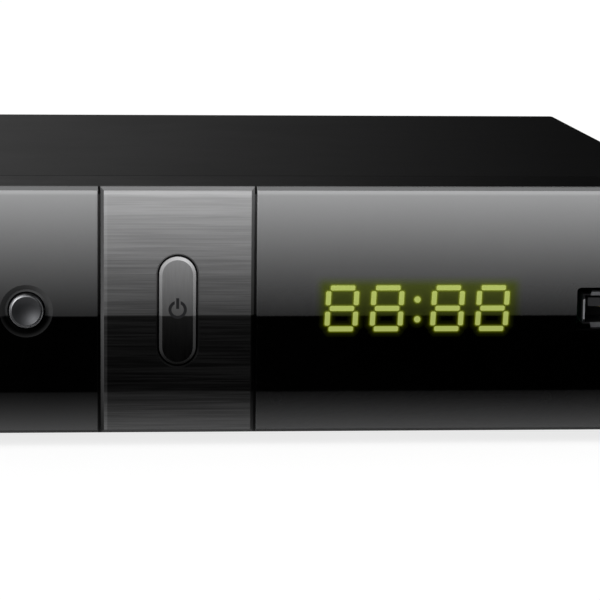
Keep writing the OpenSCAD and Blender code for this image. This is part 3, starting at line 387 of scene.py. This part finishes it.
def sheet_steel(name):
    """Zinc-plated sheet: faint spangle, rolled across."""
    made = Finish(name, metallic=0.85, specular_ior_level=0.4)
    spangle = made.cells(0.22)
    rolled = made.noise(1.5, 4.0, (0.08, 1, 1))
    broad = made.noise(0.04, 5.0, roughness=0.6)
    base = made.shades(spangle, (0.52, 0.53, 0.545), 0.13)
    made.set(base_color=made.mix(made.spread(broad, 0.5, 0.75, 0.0, 0.35), base, (0.40, 0.405, 0.41)),
             roughness=made.spread(made.mix(0.5, rolled, broad), 0.3, 0.7, 0.34, 0.54),
             normal=made.bump(rolled, 0.12, 0.01, made.soft_edge(0.15)))
    return made


def faded_panel(name, alpha=1.0):
    """Satin panel carrying the fade as painted reflection, with painted light in the key's well, a painted
    highlight round the well's edge, and a painted glow round the digits.
    """
    made = Finish(name, specular_ior_level=0.03, alpha=alpha)
    fine = made.noise(6.0, 3.0)
    broad = made.noise(0.035, 5.0, roughness=0.65)
    low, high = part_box("select_button")
    away = made.from_middle((low[0] + high[0]) / 2, (low[2] + high[2]) / 2)
    in_well = made.maths("LESS_THAN", away, WELL_R)
    well_rim_highlight = made.maths("MULTIPLY", in_well, made.spread(away, WELL_R - WELL_EDGE, WELL_R))
    # Painted reflection from the fade, with painted highlight on the bevel along the top
    grey = made.mix(made.top_bevel(), made.fade(PANEL_FADE), PANEL_TOP_HIGHLIGHT)
    # Painted light inside the well against its shade, then a painted highlight round its edge
    grey = made.mix(in_well, grey, WELL_PAINTED_LIGHT, "SCREEN")
    grey = made.mix(made.maths("MULTIPLY", well_rim_highlight, 0.8), grey, WELL_RIM_HIGHLIGHT, "LIGHTEN")
    grey = made.mix(0.035, grey, made.mix(0.5, fine, broad), "OVERLAY")
    # Painted glow: a yellow-green tint over the digits' area, fading out round it
    tint = made.mix(made.near_box(*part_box("display_segments"), GLOW_TINT_EDGE), PANEL_FADE_TINT, GLOW_TINT)
    made.set(base_color=made.from_screen(grey, tint, 1.0 / alpha),
             roughness=made.spread(broad, 0.35, 0.7, 0.24, 0.38),
             normal=made.bump(fine, 0.04, 0.004))
    return made


def brushed_plate(name):
    """Metal plate brushed across and tinted with the fade of painted reflection, with bright-cut bevels that
    carry painted highlight and shade, and a painted highlight strip beside the left bevel.
    """
    made = Finish(name, specular_ior_level=0.1, metallic=0.35, anisotropic=0.6)
    hair = made.noise(5.0, 5.0, (0.012, 1, 1), 0.6)
    band = made.noise(0.9, 4.0, (0.02, 1, 1), 0.6)
    streaks = made.mix(0.4, hair, band)
    # The plate's fade is painted reflection, with the brushed streaks over it
    grey = made.mix(0.08, made.fade(PLATE_FADE), streaks, "OVERLAY")
    strong = made.spread(streaks, 0.38, 0.62)
    grey = made.mix(1.0, grey, made.mix(strong, NOTHING, STREAK_LIFT), "ADD")
    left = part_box("centre_plate")[0][0]
    # A painted highlight strip just inside the plate's left bevel
    past_strip = made.spread(made.axis("X"), *(left + end for end in STRIP_END))
    grey = made.mix(1.0, made.mix(past_strip, STRIP_HIGHLIGHT, NOTHING), grey, "SCREEN")
    # Bevels carry painted highlight and shade; the key hole's bevel is painted brighter on its right
    hole = made.mix(made.rightwards(), made.fade(HOLE_FADE), made.fade(lifted(HOLE_FADE, RIGHT_RIM_LIFT)))
    bevels = made.mix(made.near_box(*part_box("power_button"), HOLE_REACH), made.edge_fade(), hole)
    grey = made.mix(made.slanted(), grey, bevels)
    # Painted highlight on the bevel along the plate's top
    grey = made.mix(made.top_bevel(), grey, PLATE_TOP_HIGHLIGHT)
    made.set(base_color=made.from_screen(grey, METAL_TINT),
             roughness=made.spread(streaks, 0.3, 0.7, 0.28, 0.46),
             normal=made.bump(hair, 0.10, 0.01))
    return made


def power_key(name):
    """Satin key with the fade of painted reflection, a silver rim with painted highlight, and a printed sign.
    """
    made = Finish(name, specular_ior_level=0.1, metallic=0.2)
    low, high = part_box("power_button")
    fine = made.noise(4.0, 4.0, (1, 1, 0.05))
    on_face = made.spread(made.axis("Y"), *(low[1] + depth for depth in PRINT_DEPTH), 1.0, 0.0)
    sign = made.maths("MULTIPLY", on_face,
                      made.power_sign((low[0] + high[0]) / 2, (low[2] + high[2]) / 2 + SIGN_RISE))
    # Painted highlight on the rim, brighter on its right side as painted light against shade
    rim = made.mix(made.rightwards(), made.fade(RIM_FADE), made.fade(lifted(RIM_FADE, RIGHT_RIM_LIFT)))
    grey = made.mix(made.slanted(), made.fade(KEY_FADE), rim)
    grey = made.mix(0.06, grey, fine, "OVERLAY")
    grey = made.mix(sign, grey, SIGN_GREY)
    made.set(base_color=made.from_screen(grey, METAL_TINT),
             roughness=made.spread(fine, 0.3, 0.7, 0.30, 0.42),
             normal=made.bump(fine, 0.05, 0.005))
    return made


def select_key(name):
    """Spun satin metal: a bright rim, and fine rings round a dish darkened with painted shade."""
    made = Finish(name, metallic=1.0)
    low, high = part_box("select_button")
    away = made.from_middle((low[0] + high[0]) / 2, (low[2] + high[2]) / 2)
    rings = made.node("TexNoise", {"noise_dimensions": "1D"}, W=away, Scale=9.0 / MM, Detail=3.0).outputs[0]
    broad = made.noise(0.5, 4.0)
    grain = made.mix(0.5, rings, broad)
    dish = made.spread(away, DISH_R - DISH_EDGE, DISH_R, 1.0, 0.0)
    rim = made.shades(grain, RIM_METAL, 0.2)
    # The dish's metal is darkened as painted shade
    made.set(base_color=made.mix(dish, rim, made.shades(grain, DISH_SHADE_METAL, 0.25)),
             roughness=made.maths("ADD", made.spread(rings, 0.3, 0.7, 0.26, 0.36),
                                  made.maths("MULTIPLY", dish, 0.22)),
             normal=made.bump(rings, 0.2, 0.01))
    return made


def usb_steel(name):
    """Plated shell: a painted highlight inside its left lip, and painted shade on the cut edges and along the
    bottom.
    """
    made = Finish(name, specular_ior_level=0.5)
    fine = made.noise(3.0, 4.0)
    broad = made.noise(0.06, 5.0, roughness=0.65)
    right = made.spread(made.axis("X", "Normal"), 0.4, 0.6)
    # Painted shade on the cut edges and on the faces along the bottom
    shaded_faces = made.maths("MAXIMUM", made.spread(made.axis("Z", "Normal"), 0.8, 0.95),
                      made.spread(made.axis("Y", "Normal"), -0.97, -0.9, 1.0, 0.0))
    base = made.mix(shaded_faces, made.shades(fine, USB_SHELL, 0.08), USB_SHADE)
    # Painted highlight inside the left lip
    made.set(base_color=made.mix(right, base, made.shades(fine, USB_LIP_HIGHLIGHT, 0.08)),
             metallic=made.spread(right, 0.0, 1.0, 1.0, 0.2),
             roughness=made.spread(broad, 0.3, 0.7, 0.2, 0.34),
             normal=made.bump(fine, 0.06, 0.02))
    return made


def circuit_board(name, mask, copper):
    """Solder mask over a net of fine tracks."""
    made = Finish(name, specular_ior_level=0.45)
    lanes = made.cells(0.45, "DISTANCE_TO_EDGE", (1, 0.4, 1), "Distance")
    tracks = made.spread(lanes, 0.05, 0.10, 1.0, 0.0)
    broad = made.noise(0.08, 4.0)
    base = made.mix(made.maths("MULTIPLY", tracks, 0.6), made.shades(broad, mask, 0.2), copper)
    made.set(base_color=base, roughness=made.spread(broad, 0.3, 0.7, 0.28, 0.45),
             normal=made.bump(tracks, 0.4, 0.035))
    return made


def lit_bar(name, colour, strength, body=0.5):
    """A lit face, a little uneven."""
    made = Finish(name, emission_color=colour, emission_strength=strength, specular_ior_level=0.2)
    fine = made.noise(2.0, 3.0)
    made.set(base_color=made.shades(fine, [c * body for c in colour], 0.2),
             roughness=made.spread(fine, 0.3, 0.7, 0.4, 0.6), normal=made.bump(fine, 0.05, 0.01))
    return made


def wound(name, colour, per_mm, axis, roughness, metallic=0.0):
    """Turns of tape or wire that lie side by side along an axis."""
    made = Finish(name, metallic=metallic, specular_ior_level=0.5)
    turns = made.maths("SINE", made.maths("MULTIPLY", made.axis(axis), 2 * math.pi * per_mm / MM))
    broad = made.noise(0.3, 4.0)
    made.set(base_color=made.shades(made.mix(0.4, made.spread(turns, -1.0, 1.0), broad), colour, 0.3),
             roughness=made.spread(broad, 0.3, 0.7, roughness - 0.1, roughness + 0.1),
             normal=made.bump(turns, 0.35, 0.08))
    return made


FINISHES = {
    "cover_coat": cover_coat,
    "sheet_steel": sheet_steel,
    "foot_rubber": lambda n: plain(n, (0.016, 0.016, 0.016), 0.82, specular=0.3, grain=5, bump=0.4),
    "dark_screw": lambda n: plain(n, (0.03, 0.03, 0.032), 0.38, 0.6, grain=4, bump=0.15),
    "steel_screw": lambda n: plain(n, (0.58, 0.58, 0.60), 0.3, 1.0, grain=4, bump=0.1),
    "front_plastic": front_moulding,
    "fascia_finish": faded_panel,
    "plate_metal": brushed_plate,
    "window_acrylic": lambda n: faded_panel(n, WINDOW_COVER),
    "power_key_finish": power_key,
    "select_key_finish": select_key,
    "switch_plastic": lambda n: plain(n, (0.02, 0.02, 0.021), 0.45, grain=4, bump=0.25, edge=0.12),
    "plunger_plastic": lambda n: plain(n, (0.55, 0.50, 0.42), 0.45, grain=4),
    "board_green": lambda n: circuit_board(n, (0.012, 0.085, 0.04), (0.03, 0.16, 0.07)),
    "board_tan": lambda n: circuit_board(n, (0.36, 0.23, 0.09), (0.42, 0.29, 0.13)),
    "display_black": lambda n: plain(n, (0.0045, 0.0045, 0.0048), 0.75, specular=0.1, grain=5),
    "display_lit": lambda n: lit_bar(n, LIT, LIT_LEVEL),
    "lens_plastic": lambda n: plain(n, (0.012, 0.010, 0.014), 0.15, grain=3, bump=0.03),
    "socket_steel": lambda n: plain(n, (0.62, 0.63, 0.65), 0.26, 1.0, grain=3, swing=0.08, bump=0.06),
    "socket_plastic": lambda n: plain(n, (0.014, 0.014, 0.015), 0.5, specular=0.3, grain=4, bump=0.25,
                                      edge=0.12),
    "contact_gold": lambda n: plain(n, (0.72, 0.52, 0.20), 0.25, 1.0, grain=4, bump=0.05),
    "plug_nylon": lambda n: plain(n, (0.72, 0.69, 0.60), 0.5, grain=3),
    "ribbon_grey": lambda n: wound(n, (0.60, 0.60, 0.58), 0.8, "X", 0.45),
    "post_brass": lambda n: plain(n, (0.60, 0.45, 0.18), 0.3, 1.0, grain=4, bump=0.08),
    "chip_black": lambda n: plain(n, (0.02, 0.02, 0.022), 0.6, grain=5, bump=0.3),
    "sink_dark": lambda n: plain(n, (0.035, 0.036, 0.038), 0.45, 0.6, grain=3, stretch=(1, 0.05, 1)),
    "sink_bright": lambda n: plain(n, (0.50, 0.51, 0.52), 0.35, 1.0, grain=3, stretch=(1, 1, 0.05)),
    "can_sleeve": lambda n: plain(n, (0.03, 0.03, 0.05), 0.3, grain=3, coat=0.2),
    "big_can_sleeve": lambda n: plain(n, (0.02, 0.03, 0.10), 0.3, grain=3, coat=0.2),
    "small_can_sleeve": lambda n: plain(n, (0.02, 0.06, 0.035), 0.3, grain=3, coat=0.2),
    "tin_plate": lambda n: plain(n, (0.55, 0.56, 0.56), 0.35, 1.0, grain=2, stretch=(0.2, 1, 1)),
    "phono_plate": lambda n: plain(n, (0.72, 0.64, 0.42), 0.22, 1.0, grain=4, swing=0.06, bump=0.05),
    "phono_yellow": lambda n: plain(n, (0.80, 0.55, 0.02), 0.4, grain=4, bump=0.1),
    "phono_white": lambda n: plain(n, (0.78, 0.78, 0.76), 0.4, grain=4, bump=0.1),
    "phono_red": lambda n: plain(n, (0.55, 0.02, 0.015), 0.4, grain=4, bump=0.1),
    "phono_orange": lambda n: plain(n, (0.80, 0.18, 0.01), 0.4, grain=4, bump=0.1),
    "card_sheet": lambda n: plain(n, (0.70, 0.66, 0.52), 0.8, grain=3, bump=0.3),
    "ferrite": lambda n: plain(n, (0.045, 0.045, 0.048), 0.55, 0.2, grain=4, bump=0.3),
    "winding_tape": lambda n: wound(n, (0.75, 0.52, 0.03), 0.2, "Z", 0.35),
    "choke_copper": lambda n: wound(n, (0.45, 0.17, 0.06), 0.9, "X", 0.3, 0.8),
    "fuse_glass": lambda n: plain(n, (0.60, 0.60, 0.62), 0.12, 0.3, grain=2, bump=0.03),
    "wire_red": lambda n: plain(n, (0.55, 0.03, 0.02), 0.45, grain=3),
    "wire_blue": lambda n: plain(n, (0.02, 0.06, 0.30), 0.45, grain=3),
}


def dress_nodes():
    """Gives every solid the finish of its slot."""
    made = {slot: build(slot).material for slot, build in FINISHES.items()}
    own = {"usb_shell": usb_steel("usb_steel").material}
    for name, piece in nodes.items():
        piece.data.materials.clear()
        piece.data.materials.append(own.get(name, made[slot_of[name]]))


def islands(mesh):
    """The separate bodies of a mesh, as lists of points."""
    work = bmesh.new()
    work.from_mesh(mesh)
    bmesh.ops.remove_doubles(work, verts=work.verts, dist=SAME_POINT)
    left = set(work.verts)
    while left:
        group, edge = set(), [left.pop()]
        while edge:
            vert = edge.pop()
            group.add(vert)
            near = {e.other_vert(vert) for e in vert.link_edges} & left
            left -= near
            edge.extend(near)
        yield [vert.co.copy() for vert in group]
    work.free()


def front_outline(points):
    """The front face of a convex bar, as points in order round its middle."""
    front = min(p.y for p in points)
    face = [p for p in points if p.y - front < SAME_FACE]
    middle = sum(face, Vector()) / len(face)
    return sorted(face, key=lambda p: math.atan2(p.z - middle.z, p.x - middle.x))


def grown(outline, width):
    """A convex outline moved outwards by a width."""
    count = len(outline)
    result = []
    for i, point in enumerate(outline):
        before = (point - outline[i - 1]).normalized()
        after = (outline[(i + 1) % count] - point).normalized()
        out = [Vector((d.z, 0.0, -d.x)) for d in (before, after)]
        lean = (out[0] + out[1]).normalized()
        result.append(point + lean * width / max(0.5, lean.dot(out[0])))
    return result


def make_glow(name, start, end, thick, level):
    """A thin dim frame of painted glow round each lit bar, on the face of the display."""
    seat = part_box("display_module")[0][1]
    work = bmesh.new()
    for points in islands(nodes["display_segments"].data):
        outline = front_outline(points)
        rings = []
        for reach in (start, end):
            for depth in (0.0, -thick):
                rings.append([work.verts.new((p.x, seat + depth, p.z)) for p in grown(outline, reach)])
        inner_back, inner_front, outer_back, outer_front = rings
        for i in range(len(outline)):
            j = (i + 1) % len(outline)
            for a, b in ((inner_front, outer_front), (outer_front, outer_back),
                         (outer_back, inner_back), (inner_back, inner_front)):
                work.faces.new((a[i], a[j], b[j], b[i]))
    bmesh.ops.recalc_face_normals(work, faces=work.faces)
    mesh = bpy.data.meshes.new(name)
    work.to_mesh(mesh)
    work.free()
    glow = bpy.data.objects.new(name, mesh)
    bpy.context.scene.collection.objects.link(glow)
    mesh.materials.append(lit_bar(name, GLOW, LIT_LEVEL * level, GLOW_BODY).material)
    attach(glow, "chassis")


def seen_rays(tree):
    """1 for rays that see the background: straight from the camera, in gloss, or through glass."""
    path = tree.nodes.new("ShaderNodeLightPath")
    total = path.outputs["Is Camera Ray"]
    for name in ("Is Glossy Ray", "Is Transmission Ray"):
        either = tree.nodes.new("ShaderNodeMath")
        either.operation = "MAXIMUM"
        tree.links.new(total, either.inputs[0])
        tree.links.new(path.outputs[name], either.inputs[1])
        total = either.outputs[0]
    return total


def make_floor():
    """A white floor that keeps the object's shadow."""
    bpy.ops.mesh.primitive_plane_add(size=FLOOR_SIZE, location=(0.0, 0.0, 0.0))
    floor = bpy.context.object
    floor.name = "floor"
    material = bpy.data.materials.new("floor_white")
    material.use_nodes = True
    tree = material.node_tree
    tree.nodes.clear()
    output = tree.nodes.new("ShaderNodeOutputMaterial")
    lit = tree.nodes.new("ShaderNodeBsdfDiffuse")
    lit.inputs["Color"].default_value = FLOOR_GREY
    white = tree.nodes.new("ShaderNodeEmission")
    both = tree.nodes.new("ShaderNodeAddShader")
    share = tree.nodes.new("ShaderNodeMath")
    share.operation = "MULTIPLY"
    share.inputs[1].default_value = FLOOR_WHITE
    tree.links.new(seen_rays(tree), share.inputs[0])
    tree.links.new(share.outputs[0], white.inputs["Strength"])
    tree.links.new(lit.outputs[0], both.inputs[0])
    tree.links.new(white.outputs[0], both.inputs[1])
    tree.links.new(both.outputs[0], output.inputs[0])
    floor.data.materials.append(material)


def make_world(ambient):
    """White where it is seen, and a soft ambient light otherwise."""
    world = bpy.data.worlds.new("studio")
    bpy.context.scene.world = world
    world.use_nodes = True
    tree = world.node_tree
    background = tree.nodes["Background"]
    strength = tree.nodes.new("ShaderNodeMapRange")
    strength.inputs["To Min"].default_value = ambient
    strength.inputs["To Max"].default_value = 1.0
    tree.links.new(seen_rays(tree), strength.inputs["Value"])
    background.inputs["Color"].default_value = (1.0, 1.0, 1.0, 1.0)
    tree.links.new(strength.outputs[0], background.inputs["Strength"])


def make_sun(name, elevation, azimuth, spread, level):
    """Soft even light; a white card facing it shows the level. Azimuth 0 shines along +Y, 90 along -X."""
    lamp = bpy.data.lights.new(name, "SUN")
    lamp.angle = math.radians(spread)
    lamp.energy = level * math.pi
    holder = bpy.data.objects.new(name, lamp)
    up, turn = math.radians(elevation), math.radians(azimuth)
    ahead = Vector((-math.sin(turn) * math.cos(up), math.cos(turn) * math.cos(up), -math.sin(up)))
    holder.rotation_euler = ahead.to_track_quat("-Z", "Y").to_euler()
    bpy.context.scene.collection.objects.link(holder)


def make_flag(name, corners, level=0.0, reach=(-1.0, 1.0), fall=1.0):
    """A card that shows only in gloss, as a photographer's flag does: black, or fading from left to right."""
    mesh = bpy.data.meshes.new(name)
    mesh.from_pydata([Vector(c) for c in corners], [], [(0, 1, 2, 3)])
    material = bpy.data.materials.new(name)
    material.use_nodes = True
    tree = material.node_tree
    tree.nodes.clear()
    output = tree.nodes.new("ShaderNodeOutputMaterial")
    shade = tree.nodes.new("ShaderNodeEmission")
    place = tree.nodes.new("ShaderNodeTexCoord")
    split = tree.nodes.new("ShaderNodeSeparateXYZ")
    grade = tree.nodes.new("ShaderNodeMapRange")
    for index, value in enumerate((*reach, 1.0, 0.0), 1):
        grade.inputs[index].default_value = value
    tree.links.new(place.outputs["Object"], split.inputs[0])
    tree.links.new(split.outputs["X"], grade.inputs[0])
    strength = grade.outputs[0]
    for operation, value in (("POWER", fall), ("MULTIPLY", level)):
        step = tree.nodes.new("ShaderNodeMath")
        step.operation = operation
        step.inputs[1].default_value = value
        tree.links.new(strength, step.inputs[0])
        strength = step.outputs[0]
    tree.links.new(strength, shade.inputs["Strength"])
    tree.links.new(shade.outputs[0], output.inputs[0])
    mesh.materials.append(material)
    flag = bpy.data.objects.new(name, mesh)
    flag.visible_camera = flag.visible_diffuse = flag.visible_shadow = flag.visible_transmission = False
    bpy.context.scene.collection.objects.link(flag)


def upright(x0, x1, y, z0, z1):
    """Corners of a card that stands across."""
    return (x0, y, z0), (x1, y, z0), (x1, y, z1), (x0, y, z1)


def sideways(x, y0, y1, z0, z1):
    """Corners of a card that stands along the side."""
    return (x, y0, z0), (x, y1, z0), (x, y1, z1), (x, y0, z1)


def lying(x0, x1, y0, y1, z):
    """Corners of a level card."""
    return (x0, y0, z), (x1, y0, z), (x1, y1, z), (x0, y1, z)


def make_camera():
    """The camera that takes the photograph's view."""
    lens = bpy.data.cameras.new("camera")
    lens.sensor_width = 36.0
    lens.lens = FOCAL_PIXELS / PHOTO_PIXELS * lens.sensor_width
    lens.clip_start, lens.clip_end = 0.01, 50.0
    yaw, pitch, roll = CAMERA_YAW, CAMERA_PITCH, CAMERA_ROLL
    ahead = Vector((math.sin(yaw) * math.cos(pitch), math.cos(yaw) * math.cos(pitch), -math.sin(pitch)))
    level = Vector((math.cos(yaw), -math.sin(yaw), 0.0))
    above = level.cross(ahead)
    right = level * math.cos(roll) + above * math.sin(roll)
    up = above * math.cos(roll) - level * math.sin(roll)
    camera = bpy.data.objects.new("camera", lens)
    camera.matrix_world = Matrix.Translation(CAMERA_AT) @ Matrix((right, up, -ahead)).transposed().to_4x4()
    bpy.context.scene.collection.objects.link(camera)
    bpy.context.scene.camera = camera


make_camera()
make_floor()
make_world(AMBIENT)
make_sun("key", *SUN)
make_flag("back_card", upright(-4.0, 4.0, BEHIND, CARD_FOOT, 3.0), level=0.68, reach=(-0.35, 0.26), fall=1.7)
make_flag("front_flag", upright(-0.40, FAR_RIGHT, AHEAD, 0.0, FLAG_TOP))
make_flag("right_flag", upright(0.10, FAR_RIGHT, AHEAD, FLAG_TOP, CARD_TOP), level=0.2, reach=(0.1, 1.4))
make_flag("side_card", sideways(BESIDE, -1.0, 0.7, CARD_FOOT, CARD_TOP), level=0.3, reach=(1.0, 2.0))
make_flag("roof_flag", lying(-0.15, FAR_RIGHT, AHEAD, 0.1, ABOVE))
make_flag("floor_flag", lying(-0.5, FAR_RIGHT, AHEAD, -0.1, 0.001))
dress_nodes()
begin = 0.0
for index, (end, thick, level) in enumerate(GLOW_FRAMES, 1):
    make_glow(f"display_glow_{index}", begin, end, thick, level)
    begin = end

bpy.context.scene.view_settings.view_transform = "Standard"
